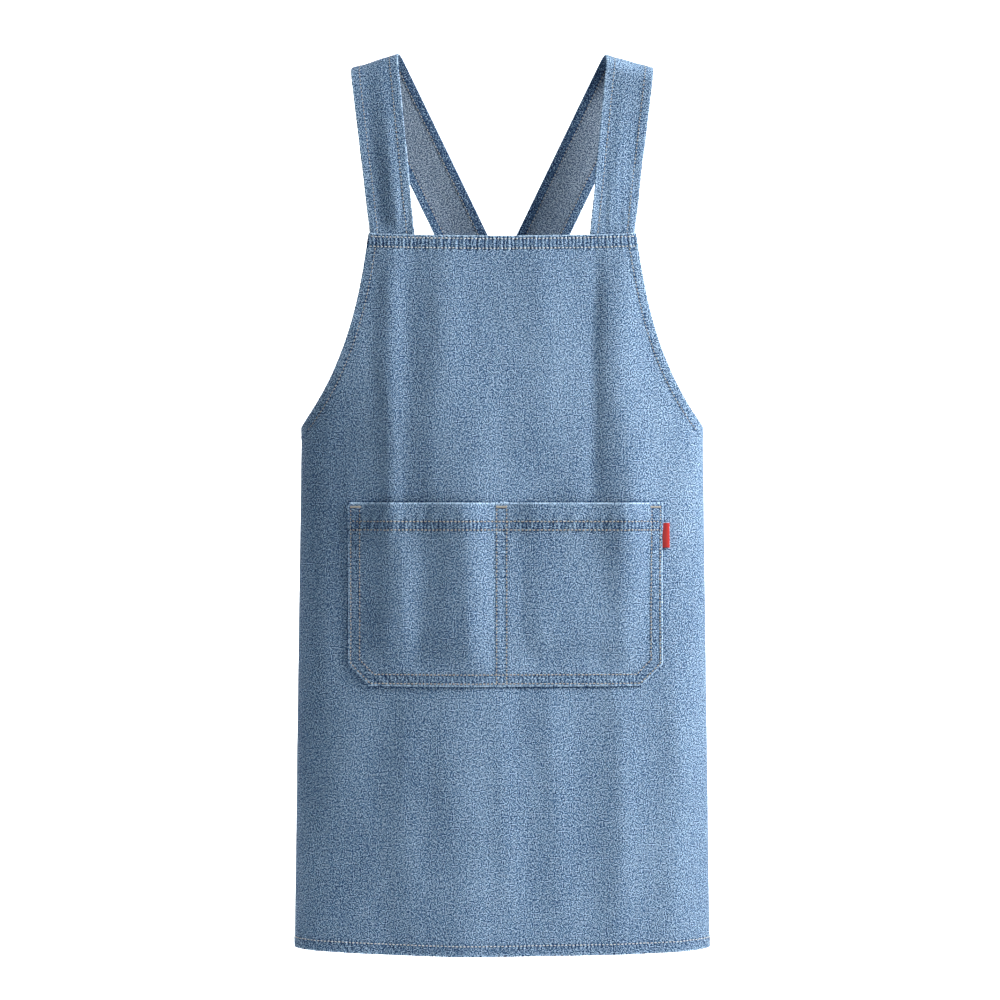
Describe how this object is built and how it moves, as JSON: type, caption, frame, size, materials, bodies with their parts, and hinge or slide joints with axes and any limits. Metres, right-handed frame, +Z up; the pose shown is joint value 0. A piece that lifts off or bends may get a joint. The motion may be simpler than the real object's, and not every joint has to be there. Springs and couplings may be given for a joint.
{
  "type": "artist's apron",
  "caption": "Cross-back pinafore apron in washed denim, with a bib, wide shoulder straps crossing behind, wrap-round back panels and a divided front pocket.",
  "frame": {"origin": "the hang point: midway between the two shoulder straps, level with the undersides of their crowns", "axes": "+Z up, +X to the right of a viewer who faces the bib, and the bib faces -Y"},
  "size_m": [0.4232, 0.0879, 0.9101],
  "materials": {
    "denim": "washed twill, matt",
    "denim_inside": "wrong side of washed twill, matt",
    "thread": "cotton topstitching, matt",
    "label": "woven tape"
  },
  "bodies": {
    "front": {"front_panel": "denim", "front_hem_fold": "denim_inside", "bib_facing": "denim_inside", "armhole_facing_left": "denim_inside", "armhole_facing_right": "denim_inside", "armhole_topstitch_left": "thread", "armhole_topstitch_right": "thread", "bib_topstitch_upper": "thread", "bib_topstitch_lower": "thread", "front_hem_topstitch": "thread", "pocket_panel": "denim", "pocket_mouth_topstitch_upper": "thread", "pocket_mouth_topstitch_lower": "thread", "pocket_edge_topstitch_outer": "thread", "pocket_edge_topstitch_inner": "thread", "pocket_divider_topstitch_left": "thread", "pocket_divider_topstitch_right": "thread", "pocket_bartack_left": "thread", "pocket_bartack_centre": "thread", "pocket_bartack_right": "thread", "strap_left": "denim", "strap_left_topstitch_neck": "thread", "strap_left_topstitch_arm": "thread", "strap_right": "denim", "strap_right_topstitch_neck": "thread", "strap_right_topstitch_arm": "thread"},
    "back_left": {"back_panel_left": "denim", "back_edge_topstitch_left": "thread", "back_edge_fold_left": "denim_inside", "back_top_topstitch_left": "thread", "back_top_facing_left": "denim_inside", "back_hem_topstitch_left": "thread", "back_hem_fold_left": "denim_inside", "side_seam_left": "denim_inside", "strap_right_box_stitch": "thread"},
    "back_right": {"back_panel_right": "denim", "back_edge_topstitch_right": "thread", "back_edge_fold_right": "denim_inside", "back_top_topstitch_right": "thread", "back_top_facing_right": "denim_inside", "back_hem_topstitch_right": "thread", "back_hem_fold_right": "denim_inside", "side_seam_right": "denim_inside", "strap_left_box_stitch": "thread"},
    "label": {"pocket_label": "label"}
  },
  "joints": [
    {"name": "back_left_opens", "type": "hinge", "parent": "front", "child": "back_left", "pos_m": [-0.2081, 0.00015, -0.637], "axis": [0.0132, 0, 0.9999], "range_deg": [0, 20]},
    {"name": "back_right_opens", "type": "hinge", "parent": "front", "child": "back_right", "pos_m": [0.2081, 0.00015, -0.637], "axis": [0.0132, 0, -0.9999], "range_deg": [0, 20]},
    {"name": "label_flips", "type": "hinge", "parent": "front", "child": "label", "pos_m": [0.1611, -0.03835, -0.4815], "axis": [0, 0, -1], "range_deg": [0, 60]}
  ]
}
